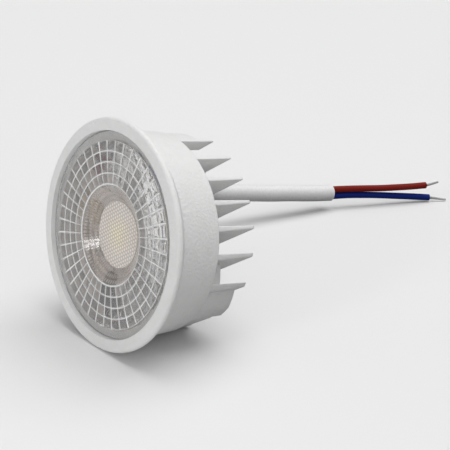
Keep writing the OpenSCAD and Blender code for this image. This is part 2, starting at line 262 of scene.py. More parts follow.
def mix_colours(graph, share, first, second):
    """The first colour where the share is 0 and the second where it is 1."""
    colour_sockets = {0: share, 6: first, 7: second}
    return graph.node("ShaderNodeMix", {"data_type": "RGBA"}, colour_sockets)[2]


def paper():
    """White to the eye, with a share of its own for the light that it throws back."""
    graph, shader, material = finish_of("white_paper")
    ray = graph.node("ShaderNodeLightPath")
    seen = ray["Is Camera Ray"]
    for kind in ("Is Glossy Ray", "Is Transmission Ray"):
        seen = seen.math("MAXIMUM", ray[kind])
    place = graph.node("ShaderNodeTexCoord")["Object"]
    ahead = vector_math(graph, "DOT_PRODUCT", place, OPEN_FRONT)["Value"]
    in_front = graph.node("ShaderNodeMapRange", {"interpolation_type": "SMOOTHSTEP"}, {
        "Value": ahead, "From Min": FRONT_START, "From Max": FRONT_END})["Result"]
    bounce = mix_colours(graph, in_front, PAPER_BOUNCE, PAPER_FRONT)
    graph.feed(shader, {"Base Color": mix_colours(graph, seen, bounce, PAPER_SEEN),
                        "Roughness": PAPER_ROUGHNESS, "Specular IOR Level": PAPER_SPECULAR})
    return material


floor_corners = [(FLOOR_REACH * x, FLOOR_REACH * y, 0)
                 for x, y in ((-1, -1), (1, -1), (1, 1), (-1, 1))]
floor_mesh = bpy.data.meshes.new("floor")
floor_mesh.from_pydata(floor_corners, [], [(0, 1, 2, 3)])
floor_mesh.materials.append(paper())
floor = add_object("floor", floor_mesh)
floor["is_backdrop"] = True
print("the floor is", 2 * FLOOR_REACH, "m wide")

# %% [markdown]
# ## The main light
# A wide soft light hangs above the module and a little behind it, so the fins are bright on top
# and dark below, and the shadow falls to the front. An area lamp would have to be large and near,
# and it would light the near side more. A sun lamp with a large angle is as soft, and even.

# %% Main light
SUN_FROM = Vector((0.06, 0.30, 1.0))
SUN_SPREAD = math.radians(56)
SUN_STRENGTH = 1.88
sun_data = bpy.data.lights.new("soft_overhead", "SUN")
sun_data.energy = SUN_STRENGTH
sun_data.angle = SUN_SPREAD
sun = add_object("soft_overhead", sun_data)
sun.rotation_euler = SUN_FROM.to_track_quat("Z", "Y").to_euler()
print("sun height in degrees:", round(math.degrees(math.asin(SUN_FROM.normalized().z))))

# %% [markdown]
# ## The room
# The rest of the light comes from a dim room with a few large soft surfaces in it: one to the
# front left, one on the camera's side, a pale ceiling, and a small bright lamp in front of the
# lens, which polished plastic mirrors as a highlight. Each could be a lamp of its own. In the
# world's shader each is only a lobe about a direction: the cosine to that direction, raised to a
# power. A higher power makes a smaller source.

# %% Room
ROOM_LEVEL = 0.06
SOURCES = {"front_left": ((-0.80, -0.60, 0.0), 0.4, 3),
           "camera_side": ((0.85, -0.25, 0.5), 0.9, 3),
           "ceiling": ((0, 0.2, 1), 0.30, 2),
           "lens_lamp": ((0.09, -0.93, 0.36), 16, 300)}
world = bpy.data.worlds.new("dim_room")
world.use_nodes = True
bpy.context.scene.world = world
room = Graph(world.node_tree)
looking = room.node("ShaderNodeTexCoord")["Generated"]


def glow(towards, sharpness):
    """1 straight towards a light and less to its sides."""
    aim = Vector(towards).normalized()
    cosine = vector_math(room, "DOT_PRODUCT", looking, aim)["Value"]
    return cosine.math("MAXIMUM", 0) ** sharpness


level = ROOM_LEVEL
for towards, strength, sharpness in SOURCES.values():
    level = level + strength * glow(towards, sharpness)
room.feed(world.node_tree.nodes["Background"], {"Color": (1, 1, 1, 1), "Strength": level})
bpy.context.scene.view_settings.view_transform = "Standard"
print("soft surfaces in the room:", list(SOURCES))

# %% [markdown]
# ## Powder coat
# The casting is sprayed with white powder that melts into a matt skin with a fine grain, and that
# flows off every sharp edge a little. Two sizes of noise make the grain as a bump and shift the
# colour by a hair. The Bevel node softens the edges in the normals alone, which is enough for an
# edge that is not seen from its side. The hollow behind the lens gets a paler, pinkish tone:
# painted light, which lightens what is seen of it through the lens and tints it with the source's
# light. It is round, so the distances along the axis and out from it tell where it is.

# %% Powder coat
COAT_COLOUR, COAT_SHADE = (0.82, 0.82, 0.815), 0.96
# The hollow's tone is painted light: paler and more pinkish than the coat.
INSIDE_PAINTED_TONE, INSIDE_SHADE = (0.90, 0.84, 0.81), 0.8
INSIDE_FROM, INSIDE_TO, INSIDE_R = 1.95 * MM, 11.5 * MM, 20.6 * MM
GRAIN_SCALE, GRAIN_STRENGTH, GRAIN_HEIGHT = 1700, 0.8, 0.20 * MM
CLOUD_SCALE, CLOUD_LOW, CLOUD_HIGH = 420, 0.3, 0.7
COAT_ROUGHNESS, GRAIN_ROUGHNESS = 0.5, 0.15
EDGE_FLOW, EDGE_SAMPLES = 0.22 * MM, 6
NOISE_DETAIL = 3


def noise(graph, place, scale):
    """A cloudy pattern between 0 and 1."""
    return graph.node("ShaderNodeTexNoise", {}, {
        "Vector": place, "Scale": scale, "Detail": NOISE_DETAIL})["Fac"]


def shaded(graph, pattern, colour, shade, low, high):
    """A colour that sinks to a share of itself where a pattern is low."""
    stops = [(low, tuple(shade * channel for channel in colour)), (high, colour)]
    return graph.node("ShaderNodeValToRGB", {"stops": stops}, {"Fac": pattern})["Color"]


def own_axis(graph, place):
    """How far a place is along the axis from the rim's front, and how far out from the axis."""
    from_front = vector_math(graph, "SUBTRACT", place, front_centre)["Vector"]
    along = vector_math(graph, "DOT_PRODUCT", from_front, -facing)["Value"]
    reach = vector_math(graph, "LENGTH", from_front)["Value"]
    return along, (reach * reach - along * along).math("SQRT")


def powder_coat():
    """The casting's skin, with painted light in its hollow: a paler, pinkish tone."""
    graph, shader, material = finish_of("white_coat")
    place = graph.node("ShaderNodeTexCoord")["Object"]
    grain = noise(graph, place, GRAIN_SCALE)
    cloud = noise(graph, place, CLOUD_SCALE)
    sprayed = shaded(graph, cloud, COAT_COLOUR, COAT_SHADE, CLOUD_LOW, CLOUD_HIGH)
    # Painted light: the paler, pinkish tone of the hollow behind the lens.
    hollow_painted = shaded(graph, cloud, INSIDE_PAINTED_TONE, INSIDE_SHADE, CLOUD_LOW, CLOUD_HIGH)
    along, out = own_axis(graph, place)
    in_hollow = (out < INSIDE_R) * (along < INSIDE_TO) * (along > INSIDE_FROM)
    edge = graph.node("ShaderNodeBevel", {"samples": EDGE_SAMPLES}, {"Radius": EDGE_FLOW})["Normal"]
    bump = graph.node("ShaderNodeBump", {}, {
        "Strength": GRAIN_STRENGTH, "Distance": GRAIN_HEIGHT, "Height": grain, "Normal": edge})
    graph.feed(shader, {"Base Color": mix_colours(graph, in_hollow, sprayed, hollow_painted),
                        "Roughness": COAT_ROUGHNESS + GRAIN_ROUGHNESS * grain,
                        "Normal": bump["Normal"]})
    return material


coat = powder_coat()
print("nodes in the coat:", len(coat.node_tree.nodes))

# %% [markdown]
# ## Rounded fins
# A casting has no sharp edges: the mould's edges are worn and the powder flows over what is left,
# so each fin ends in a round lip. The CAD solid has flat lips, and normals alone would leave its
# outline sharp. So a copy of its mesh is cleaned to whole faces without very short edges, the
# sharp outer edges behind the skirt are picked by their angle, and a bevel of three steps rounds
# them. What falls together at the fins' corners is welded, so the mesh stays closed.

# %% Fin edges
SKIRT_END, FINS_FROM = 12.85 * MM, 13.1 * MM
SAME_PLACE, SHORTEST = 0.002 * MM, 0.05 * MM
FLAT, SHARP = math.radians(0.5), math.radians(40)


def depth(place):
    """How far a place lies behind the rim's front."""
    return (front_centre - place).dot(facing)


def make_whole(casting):
    """Merges loose triangles, and behind the skirt joins them to whole faces."""
    bmesh.ops.remove_doubles(casting, verts=casting.verts, dist=SAME_PLACE)
    behind = [vert for vert in casting.verts if depth(vert.co) > SKIRT_END]
    between = [edge for edge in casting.edges
               if all(depth(vert.co) > SKIRT_END for vert in edge.verts)]
    bmesh.ops.dissolve_limit(casting, angle_limit=FLAT, verts=behind, edges=between)
    fins = [vert for vert in casting.verts if depth(vert.co) > FINS_FROM]
    bmesh.ops.remove_doubles(casting, verts=fins, dist=SHORTEST)


def is_lip(edge):
    """Whether an edge is a sharp outer edge of a fin."""
    middle = (edge.verts[0].co + edge.verts[1].co) / 2
    return (edge.is_manifold and edge.is_convex and edge.calc_face_angle() > SHARP
            and depth(middle) > FINS_FROM)


print("the fins start", round(FINS_FROM / MM, 1), "mm behind the rim's front")

# %% [markdown]
# ## The housing's mesh
# The rounded copy takes the place of the CAD housing. Its faces are shaded smooth up to a limit of
# the angle between them, so the round lips look round and the fins' flat sides flat.

# %% Rounded housing
LIP_ROUND, LIP_STEPS, ROUND_PROFILE = 0.25 * MM, 3, 0.5
WELD, NO_LENGTH = 0.001 * MM, 0.0001 * MM
SMOOTH_BELOW = math.radians(25)


def rounded_casting(solid):
    """A copy of the solid's mesh with round lips on its fins."""
    casting = bmesh.new()
    casting.from_mesh(solid)
    make_whole(casting)
    lips = [edge for edge in casting.edges if is_lip(edge)]
    bmesh.ops.bevel(casting, geom=lips, offset=LIP_ROUND, offset_type="OFFSET", affect="EDGES",
                    segments=LIP_STEPS, profile=ROUND_PROFILE, clamp_overlap=False)
    bmesh.ops.remove_doubles(casting, verts=casting.verts, dist=WELD)
    bmesh.ops.dissolve_degenerate(casting, edges=casting.edges, dist=NO_LENGTH)
    mesh = bpy.data.meshes.new("rounded_housing")
    casting.to_mesh(mesh)
    casting.free()
    mesh.attributes.remove(mesh.attributes["custom_normal"])
    mesh.shade_smooth()
    mesh.set_sharp_from_angle(angle=SMOOTH_BELOW)
    print("rounded edges:", len(lips), "faces:", len(mesh.polygons))
    return mesh


def stand_for(piece, node):
    """Lets a piece ride on the module in the place of a CAD node."""
    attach(piece, "root")
    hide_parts(node)


rounded = add_object("rounded_housing", rounded_casting(frame["nodes"]["housing"].data))
rounded.data.materials.append(coat)
stand_for(rounded, "housing")

# %% [markdown]
# ## Moulded and metal finishes
# No moulded, cast or plated surface is quite even, and one flat colour looks like a drawing. So one
# function makes all the small parts' finishes, with a faint mottle in colour and roughness.

# %% Plain finishes
MOTTLE_SCALE, MOTTLE_SHADE, MOTTLE_LOW, MOTTLE_HIGH = 1500, 0.88, 0.25, 0.75
ROUGHNESS_SWING = 0.1


def plain_finish(name, colour, roughness, metallic=0.0, specular=0.5):
    """A moulded or metal finish with a faint mottle."""
    graph, shader, material = finish_of(name)
    place = graph.node("ShaderNodeTexCoord")["Object"]
    mottle = noise(graph, place, MOTTLE_SCALE)
    tone = shaded(graph, mottle, colour, MOTTLE_SHADE, MOTTLE_LOW, MOTTLE_HIGH)
    smoothest = roughness - ROUGHNESS_SWING / 2
    graph.feed(shader, {"Base Color": tone, "Roughness": smoothest + ROUGHNESS_SWING * mottle,
                        "Metallic": metallic, "Specular IOR Level": specular})
    return material


brown = plain_finish("core_brown", (0.21, 0.013, 0.008), 0.5, specular=0.1)
blue = plain_finish("core_blue", (0.004, 0.018, 0.18), 0.5, specular=0.1)
tin = plain_finish("tinned", (0.36, 0.36, 0.355), 0.4, 1.0)
print("finishes of the lead:", brown.name, blue.name, tin.name)

# %% [markdown]
# ## What lies behind the lens
# A round board with a white solder mask carries the light source, a bright metal base with a white
# silicone dam round a disc of yellow phosphor. Two screws hold the board on a grey heat pad, the
# driver's parts stand on it, and the lead's cores are soldered to it. All this is seen through the
# lens at most, so the CAD meshes stay and only get their finishes, and so does the grommet.

# %% Light engine
ENGINE = [
    # The board's pinkish tint on its white mask is painted light: the source's light seen on it.
    ("board_white", (0.90, 0.82, 0.78), 0.45, 0.0, ["board"]),
    ("grey_silicone", (0.5, 0.5, 0.51), 0.7, 0.0, ["heat_pad"]),
    ("source_metal", (0.75, 0.75, 0.73), 0.3, 1.0, ["source_base"]),
    ("dam_white", (0.85, 0.85, 0.83), 0.5, 0.0, ["source_dam"]),
    ("phosphor_yellow", (0.86, 0.66, 0.16), 0.5, 0.0, ["source_phosphor"]),
    ("screw_steel", (0.62, 0.62, 0.62), 0.3, 1.0, ["board_screw_1", "board_screw_2"]),
    ("chip_black", (0.03, 0.03, 0.032), 0.4, 0.0,
     ["bridge_rectifier", "driver_chip", "sense_resistors"]),
    ("fuse_tan", (0.6, 0.48, 0.3), 0.5, 0.0, ["fuse"]),
    ("absorber_blue", (0.05, 0.12, 0.4), 0.4, 0.0, ["surge_absorber"]),
    ("grommet_white", (0.78, 0.78, 0.77), 0.6, 0.0, ["grommet"])]


def dress(name, material):
    """Gives a CAD node its material."""
    node = frame["nodes"][name]
    node.data.materials.clear()
    node.data.materials.append(material)


for slot, colour, roughness, metallic, names in ENGINE:
    finish = plain_finish(slot, colour, roughness, metallic)
    for name in names:
        dress(name, finish)
inner_ends = {"live_tail": brown, "neutral_tail": blue, "solder_joints": tin}
for name, finish in inner_ends.items():
    dress(name, finish)
print("finishes on CAD meshes:", len(ENGINE) + len(inner_ends))

# %% [markdown]
# ## The lens
# The lens is one piece of clear acrylic: a deep cup behind, a flange that sits in the rim, rings of
# pillow facets on its face, and a sunk window over the light source with hundreds of tiny lenses in
# it. All of that follows one rule round the axis, so a section is enough to start from. Its sizes
# are those of the CAD lens, in mm: R is a radius, and S is how far back from the rim's front.

# %% Lens sizes
LENS_SINK, FLANGE_T, FLANGE_R = 1.0, 1.0, 22.0
SEAT_GAP = 0.04
SEAT_S = LENS_SINK + FLANGE_T - SEAT_GAP
FACET_IN_R, FACET_OUT_R = 10.9, 20.2
FACET_RINGS, FACETS_ROUND = 4, 40
RING_WIDTH = (FACET_OUT_R - FACET_IN_R) / FACET_RINGS
LAND = 0.3
WINDOW_R, WINDOW_S = 7.3, 3.1
RECESS_RIM = (FACET_IN_R - LAND, LENS_SINK)
SHOULDER_R, FOOT_R, FOOT_S = 20.1, 7.4, 9.55
HOLLOW_R, HOLLOW_S = 6.2, 6.95
BACK_BEND = 1.2
print("a ring of facets is", round(RING_WIDTH, 3), "mm wide")

# %% [markdown]
# ## The lens's section
# The section is a chain of points from the axis out along the face, round the flange and back to
# the axis behind. Each point carries the number of its zone, which tells the tree below what to do
# there. The steps crowd at the facets' borders, so that the bevels have points of their own.

# %% Lens section
PLAIN, FACETS, WALL, WINDOW, FLANGE = range(5)
STEPS_PER_FACET, WINDOW_STEPS, WALL_STEPS, BACK_STEPS = 12, 56, 18, 24
CROWDING = 0.8
FULL_TURN = 2 * math.pi


def stretch(start, end, steps, zone):
    """Points from start up to, but without, end."""
    return [(start[0] + (end[0] - start[0]) * i / steps,
             start[1] + (end[1] - start[1]) * i / steps, zone) for i in range(steps)]


def crowd(share):
    """Moves even steps across a facet towards its borders."""
    return share - CROWDING * math.sin(FULL_TURN * share) / FULL_TURN


def back_point(share):
    """The cup's curved back, from its shoulder to its foot."""
    return (FOOT_R + (SHOULDER_R - FOOT_R) * (1 - share ** BACK_BEND),
            SEAT_S + (FOOT_S - SEAT_S) * share)


section = stretch((0, WINDOW_S), (WINDOW_R, WINDOW_S), WINDOW_STEPS, WINDOW)
section += stretch((WINDOW_R, WINDOW_S), RECESS_RIM, WALL_STEPS, WALL)
section += [(*RECESS_RIM, FLANGE)]
section += [(FACET_IN_R + (ring + crowd(i / STEPS_PER_FACET)) * RING_WIDTH, LENS_SINK, FACETS)
            for ring in range(FACET_RINGS) for i in range(STEPS_PER_FACET)]
section += [(FACET_OUT_R, LENS_SINK, FLANGE), (FLANGE_R, LENS_SINK, FLANGE)]
section += [(FLANGE_R, SEAT_S, PLAIN)]
section += [(*back_point(i / BACK_STEPS), PLAIN) for i in range(BACK_STEPS + 1)]
section += [(HOLLOW_R, FOOT_S, PLAIN), (HOLLOW_R, HOLLOW_S, PLAIN), (0, HOLLOW_S, PLAIN)]
lens_mesh = bpy.data.meshes.new("lens_section")
lens_mesh.from_pydata([(r * MM, 0, s * MM) for r, s, zone in section], [], [])
zones = lens_mesh.attributes.new("zone", "INT", "POINT")
zones.data.foreach_set("value", [zone for r, s, zone in section])
lens_section = add_object("lens_section", lens_mesh)
print("section points:", len(section))

# %% [markdown]
# ## Clear acrylic and painted light
# Polished acrylic is almost invisible: what shows is what it bends and mirrors. A rougher glass
# all over would blur the facets. So two shaders are mixed: a clear one, and a white one that
# paints light on the lens. It paints highlights as thin lines along the facets' borders, and it
# lightens the cells, the ribs of the recess, the window's tiny lenses and the flange. One
# attribute says how much painted light there is at each point, and another tints it: warm where
# it paints the board seen through the lens, and yellow where it paints the source. The geometry
# tree below writes both, since it knows where the borders are.

# %% Acrylic
POLISH, PAINTED_LAYER_ROUGHNESS = 0.01, 0.12
ACRYLIC_IOR = 1.49
ACRYLIC_TINT = (0.95, 0.94, 0.935, 1)
# Colours of the painted light: white highlights, the board's warm tone, the source's yellow.
PAINTED_WHITE = (0.90, 0.90, 0.90)
PAINTED_BOARD_TINT = (0.86, 0.79, 0.74)
PAINTED_SOURCE_TINT = (0.95, 0.87, 0.60)


def acrylic():
    """Clear plastic, mixed with a white shader of painted light where an attribute says so."""
    graph, shader, material = finish_of("clear_acrylic")
    graph.feed(shader, {"Base Color": ACRYLIC_TINT, "Roughness": POLISH, "IOR": ACRYLIC_IOR,
                        "Transmission Weight": 1.0})
    veil = graph.node("ShaderNodeAttribute", {"attribute_name": "veil"})["Fac"]
    warmth = graph.node("ShaderNodeAttribute", {"attribute_name": "warmth"})["Fac"]
    stops = [(0, PAINTED_WHITE), (0.5, PAINTED_BOARD_TINT), (1, PAINTED_SOURCE_TINT)]
    tint = graph.node("ShaderNodeValToRGB", {"stops": stops}, {"Fac": warmth})["Color"]
    # The white shader of painted highlights and painted light.
    painted_layer = graph.node("ShaderNodeBsdfPrincipled", {}, {
        "Base Color": tint, "Roughness": PAINTED_LAYER_ROUGHNESS})["BSDF"]
    glass = Value(graph, shader.outputs["BSDF"])
    both = graph.node("ShaderNodeMixShader", {}, {0: veil, 1: glass, 2: painted_layer})["Shader"]
    graph.feed(graph.tree.nodes["Material Output"], {"Surface": both})
    return material


clear = acrylic()
print("acrylic nodes:", len(clear.node_tree.nodes))

# %% [markdown]
# ## Growing geometry
# A geometry tree here has named inputs, ends by realizing its instances and setting the material,
# and runs once. The inputs are set on the modifier by their identifiers before the first
# evaluation. The result is copied to a plain mesh, and the modifier and the object that carried it
# are removed.

# %% Tree helpers
def new_tree(name, sizes):
    """A geometry tree with named number inputs: its graph and its group input."""
    tree = bpy.data.node_groups.new(name, "GeometryNodeTree")
    tree.interface.new_socket("Geometry", in_out="INPUT", socket_type="NodeSocketGeometry")
    for title, value in sizes.items():
        kind = "NodeSocketInt" if isinstance(value, int) else "NodeSocketFloat"
        socket = tree.interface.new_socket(title, in_out="INPUT", socket_type=kind)
        socket.default_value = value
    tree.interface.new_socket("Geometry", in_out="OUTPUT", socket_type="NodeSocketGeometry")
    graph = Graph(tree)
    return graph, graph.node("NodeGroupInput")


def close_tree(graph, geometry, material):
    """Realizes the geometry, gives it its material and ends the tree."""
    real = graph.node("GeometryNodeRealizeInstances", {}, {"Geometry": geometry})["Geometry"]
    done = graph.node("GeometryNodeSetMaterial", {}, {"Geometry": real, "Material": material})
    graph.node("NodeGroupOutput", {}, {"Geometry": done["Geometry"]})
    return graph.tree


def grow(name, carrier, tree, sizes):
    """Runs a tree on an object and leaves its result as a plain mesh."""
    modifier = carrier.modifiers.new("grow", "NODES")
    modifier.node_group = tree
    for item in tree.interface.items_tree:
        if item.in_out == "INPUT" and item.name in sizes:
            modifier[item.identifier] = sizes[item.name]
    depsgraph = bpy.context.evaluated_depsgraph_get()
    evaluated = carrier.evaluated_get(depsgraph)
    mesh = bpy.data.meshes.new_from_object(evaluated, depsgraph=depsgraph)
    carrier.modifiers.remove(modifier)
    bpy.data.objects.remove(carrier)
    print(name, "has", len(mesh.polygons), "faces")
    return add_object(name, mesh)


print("made:", new_tree.__name__, close_tree.__name__, grow.__name__)

# %% [markdown]
# ## Patterns on the lens's face
# Three patterns cover the face: facets with narrow bevels and a faint crown, small ribs on the
# recess's wall, and tiny lenses on a lattice of triangles in the window. Each could be modelled
# once and copied, but then the copies would have to be sewn into one closed body. As rules of the
# radius and the turn they only raise points that are there already. A lattice of triangles is two
# lattices of rectangles, one shifted by half a step.

# %% Face patterns
HALF = 0.5
ROOT_3 = math.sqrt(3)


def pillow(share):
    """0 at each whole number and 1 half-way between."""
    there = share.math("FRACT")
    return 4 * there * (1 - there)


def to_border(share):
    """How far a place is from the nearest whole number."""
    return share.math("PINGPONG", HALF)


def facet_rule(group, radius, turn):
    """How high a facet is at a place, and its border: 1 at the very edge, 0 inside the bevel."""
    width = group["facet_out"] - group["facet_in"]
    row = (radius - group["facet_in"]) / width * group["facet_rings"]
    column = turn * group["facets_round"]
    crown = pillow(row) * pillow(column) * group["facet_crown"]
    inside = to_border(row).math("MINIMUM", to_border(column)) / group["facet_bevel"]
    border = 1 - inside.math("MINIMUM", 1)
    return (1 - border) * group["facet_height"] + crown, border


def rib_rule(group, radius, turn):
    """1 on the crown of each rib and 0 between them."""
    width = group["wall_out"] - group["wall_in"]
    row = (radius - group["wall_in"]) / width * group["rib_rows"]
    return pillow(row) * pillow(turn * group["ribs_round"])


def lattice(column, course, shift):
    """Squared distance to the nearest point of a lattice, in pitches."""
    beside = (column + shift).math("FRACT") - HALF
    above = ((course + shift).math("FRACT") - HALF) * ROOT_3
    return beside * beside + above * above


def dimple_rule(group, east, north):
    """1 in the middle of each tiny lens and 0 where three of them meet."""
    column = east / group["dimple_pitch"]
    course = north / (group["dimple_pitch"] * ROOT_3)
    return 1 - 3 * lattice(column, course, 0).math("MINIMUM", lattice(column, course, HALF))


print("patterns:", facet_rule.__name__, rib_rule.__name__, dimple_rule.__name__)

# %% [markdown]
# ## Painted light on the lens
# The painted light follows the same patterns. It is a painted highlight along the facets' borders,
# an even painted lightening on the cells and the flange, and on the ribs and the tiny lenses more
# on their crowns than between them. Its tint paints the board under the recess, and in the middle
# of the window the yellow source.

# %% Painted veil and tint
LINE_GAIN = 1.3
RIB_PAINT, RIB_CROWN_PAINT = 0.5, 0.6
DIMPLE_PAINT, DIMPLE_CROWN_PAINT = 0.5, 0.7
PAINTED_BOARD_SHARE, PAINTED_SOURCE_SHARE = 0.5, 0.6


def painted_veil_rule(group, at, border, rib, dimple):
    """How much painted light lies on the acrylic."""
    line = (LINE_GAIN * border).math("MINIMUM", 1)
    return (at[FACETS] * (group["painted_facet_light"] + line * group["painted_border_glint"])
            + at[WALL] * (RIB_PAINT + RIB_CROWN_PAINT * rib) * group["painted_wall_light"]
            + at[WINDOW] * (DIMPLE_PAINT + DIMPLE_CROWN_PAINT * dimple) * group["painted_window_light"]
            + at[FLANGE] * group["painted_flange_light"])


def painted_tint_rule(group, at, radius, dimple):
    """How warm the painted light is: half above the board, and more above the source."""
    over_source = 1 - (radius / group["source_radius"]).math("MINIMUM", 1)
    crown = dimple.math("MAXIMUM", 0)
    return (PAINTED_BOARD_SHARE * (at[WALL] + at[WINDOW])
            + PAINTED_SOURCE_SHARE * at[WINDOW] * over_source * crown)


print("attributes:", painted_veil_rule.__name__, painted_tint_rule.__name__)

# %% [markdown]
# ## Turning the section
# Spinning the section would give the body but not its patterns. The tree starts from a flat grid
# instead, with one row for each point of the section and one column for each step round the axis.
# A grid point looks up its row's radius, depth and zone, and its column gives its turn.

# %% Grid and section
def section_grid(graph, group):
    """The grid, and each point's row along the section and turn round the axis, 0 to 1."""
    columns = group["steps"] + 1
    grid = graph.node("GeometryNodeMeshGrid", {}, {
        "Vertices X": group["points"], "Vertices Y": columns})["Mesh"]
    index = graph.node("GeometryNodeInputIndex")["Index"]
    row = (index / columns).math("FLOOR")
    even = (index - row * columns) / group["steps"] * group["facets_round"]
    lean = (even * FULL_TURN).math("SINE") * group["crowding"] / FULL_TURN
    return grid, row, (even - lean) / group["facets_round"]


def section_at(graph, group, row):
    """The section's radius, depth and zone at a row."""
    def look_up(kind, value):
        return graph.node("GeometryNodeSampleIndex", {"data_type": kind}, {
            "Geometry": group["Geometry"], "Value": value, "Index": row})["Value"]

    position = graph.node("GeometryNodeInputPosition")["Position"]
    zone = graph.node("GeometryNodeInputNamedAttribute", {"data_type": "FLOAT"}, {"Name": "zone"})
    place = graph.node("ShaderNodeSeparateXYZ", {}, {"Vector": look_up("FLOAT_VECTOR", position)})
    return place["X"], place["Z"], look_up("FLOAT", zone["Attribute"])


print("rows and columns:", len(section), FACETS_ROUND * STEPS_PER_FACET + 1)

# %% [markdown]
# ## The lens as a rule
# Now the parts come together. The painted light and its tint are stored while the points still
# have the grid's order. Each point goes to its place and is raised by the pattern of its zone.
# Merging then closes the seam and the poles, the faces are turned outwards, and the bevels' edges
# are kept sharp.

# %% Lens tree
SEAM = 0.001 * MM
CREASE = math.radians(24)


def closed_body(graph, body):
    """Closes the seam and the poles, turns the faces outwards and keeps creases sharp."""
    body = graph.node("GeometryNodeMergeByDistance", {}, {"Geometry": body, "Distance": SEAM})
    body = graph.node("GeometryNodeFlipFaces", {}, {"Mesh": body["Geometry"]})
    crease = graph.node("GeometryNodeInputMeshEdgeAngle")["Unsigned Angle"] > CREASE
    return graph.node("GeometryNodeSetShadeSmooth", {"domain": "EDGE"}, {
        "Geometry": body["Mesh"], "Selection": crease, "Shade Smooth": False})["Geometry"]


def revolved_optic(sizes):
    """Turns a section into a lens and raises its facets, ribs and tiny lenses."""
    graph, group = new_tree("revolved_optic", sizes)
    body, row, turn = section_grid(graph, group)
    radius, back, zone = section_at(graph, group, row)
    at = {number: zone.math("COMPARE", number, HALF) for number in (FACETS, WALL, WINDOW, FLANGE)}
    angle = turn * FULL_TURN
    east, north = radius * angle.math("COSINE"), radius * angle.math("SINE")
    facet, border = facet_rule(group, radius, turn)
    rib = rib_rule(group, radius, turn)
    dimple = dimple_rule(group, east, north)
    rise = (facet * at[FACETS] + rib * group["rib_height"] * at[WALL]
            + dimple * group["dimple_height"] * at[WINDOW])
    spot = graph.node("ShaderNodeCombineXYZ", {}, {"X": east, "Y": north, "Z": back - rise})[0]
    for name, value in (("veil", painted_veil_rule(group, at, border, rib, dimple)),
                        ("warmth", painted_tint_rule(group, at, radius, dimple))):
        body = graph.node("GeometryNodeStoreNamedAttribute", {
            "data_type": "FLOAT", "domain": "POINT"}, {
            "Geometry": body, "Name": name, "Value": value})["Geometry"]
    body = graph.node("GeometryNodeSetPosition", {}, {"Geometry": body, "Position": spot})
    return close_tree(graph, closed_body(graph, body["Geometry"]), clear)


LENS = {
    "steps": FACETS_ROUND * STEPS_PER_FACET, "points": len(section), "crowding": CROWDING,
    "facets_round": FACETS_ROUND, "facet_rings": FACET_RINGS,
    "facet_in": FACET_IN_R * MM, "facet_out": FACET_OUT_R * MM,
    "facet_height": 0.14 * MM, "facet_bevel": 0.08, "facet_crown": 0.10 * MM,
    "ribs_round": 2 * FACETS_ROUND, "rib_rows": 3, "rib_height": 0.012 * MM,
    "wall_in": WINDOW_R * MM, "wall_out": RECESS_RIM[0] * MM,
    "dimple_pitch": 0.85 * MM, "dimple_height": 0.12 * MM, "source_radius": 5 * MM,
    # Shares of painted light: highlights on the borders, lightening on cells, wall, flange, window.
    "painted_facet_light": 0.15, "painted_border_glint": 0.85, "painted_wall_light": 0.42, "painted_flange_light": 0.2,
    "painted_window_light": 0.85}
clear_lens = grow("clear_lens", lens_section, revolved_optic(LENS), LENS)
clear_lens.data.transform(axis_to_row)
stand_for(clear_lens, "lens")

# %% [markdown]
# ## The lead
# The lead is a round white vinyl sheath over a brown and a blue core. It leaves through the grommet
# at the back, sinks towards the table in a wide bend and runs off behind the module. A tube could
# be lofted ring by ring, but extruded vinyl keeps its round section in every bend, so a Bezier
# curve with a round bevel is enough. Its points are those of the CAD path, so that the sheath lies
# where the solid lies. The photograph shows the lead up to its end, where the sheath is cut back
# from the cores.

# %% Lead routes
OUTLET = 15.6
INNER_END_S, FLOOR_BACK_S, STRAIGHT_END_S = 9.2, 12.8, 17.8
SHEATH_ROUTE = [
    (-9, 16, 33.5), (-12.5, 22, 31), (-17.5, 27, 28.5), (-23, 30.5, 25.5), (-29.5, 33, 22),
    (-35, 36.5, 18.5), (-39, 42, 15), (-41.5, 48.5, 12.5), (-42, 55.5, 10.5), (-41.5, 61, 9.5),
    (-40.5, 67, 8.5), (-39, 72.5, 7.7), (-37.5, 78.5, 6.9), (-36, 84.5, 6), (-34.5, 92, 5)]
LIVE_ROUTE = [
    (-34.3, 92.5, 6), (-32.2, 96.5, 5.9), (-29.5, 101.5, 5.7), (-27, 106.5, 5.4),
    (-24.7, 111, 5.3), (-22.6, 115.5, 5.2), (-20.6, 120, 5.2)]
LIVE_STRAND_ROUTE = [(-20.4, 120.4, 5.2), (-19.9, 122.2, 5.4), (-19.5, 124.6, 5.6)]
NEUTRAL_ROUTE = [
    (-34.3, 92.5, 3.9), (-32.4, 96.7, 3.8), (-29.8, 101.7, 3.5), (-27.2, 106.8, 3),
    (-25, 111.4, 2.4), (-22.6, 115.8, 1.9), (-19.6, 120.8, 1.3)]
NEUTRAL_STRAND_ROUTE = [(-19.3, 121.2, 1.2), (-18.1, 122.9, 0.9), (-16.2, 124.9, 0.6)]


def on_axis(a, u, s):
    """A place given in mm across, up and back along the housing's axis, in the row frame."""
    return axis_to_row @ (Vector((a, u, s)) * MM)


def in_metres(route):
    return [Vector(point) * MM for point in route]


inner = [on_axis(0, OUTLET, s) for s in (INNER_END_S, FLOOR_BACK_S, STRAIGHT_END_S)]
print("points of the sheath:", len(inner) + len(SHEATH_ROUTE))

# %% [markdown]
# ## Sheath and cores
# The same function draws the white sheath and both cores. Its knots have automatic handles, which
# make one smooth line through all the points, and the ends are closed as a cutter leaves them.

# %% Sheath and cores
SHEATH_D, CORE_D = 5.0, 2.0
ROUND_STEPS, BEND_STEPS = 6, 8


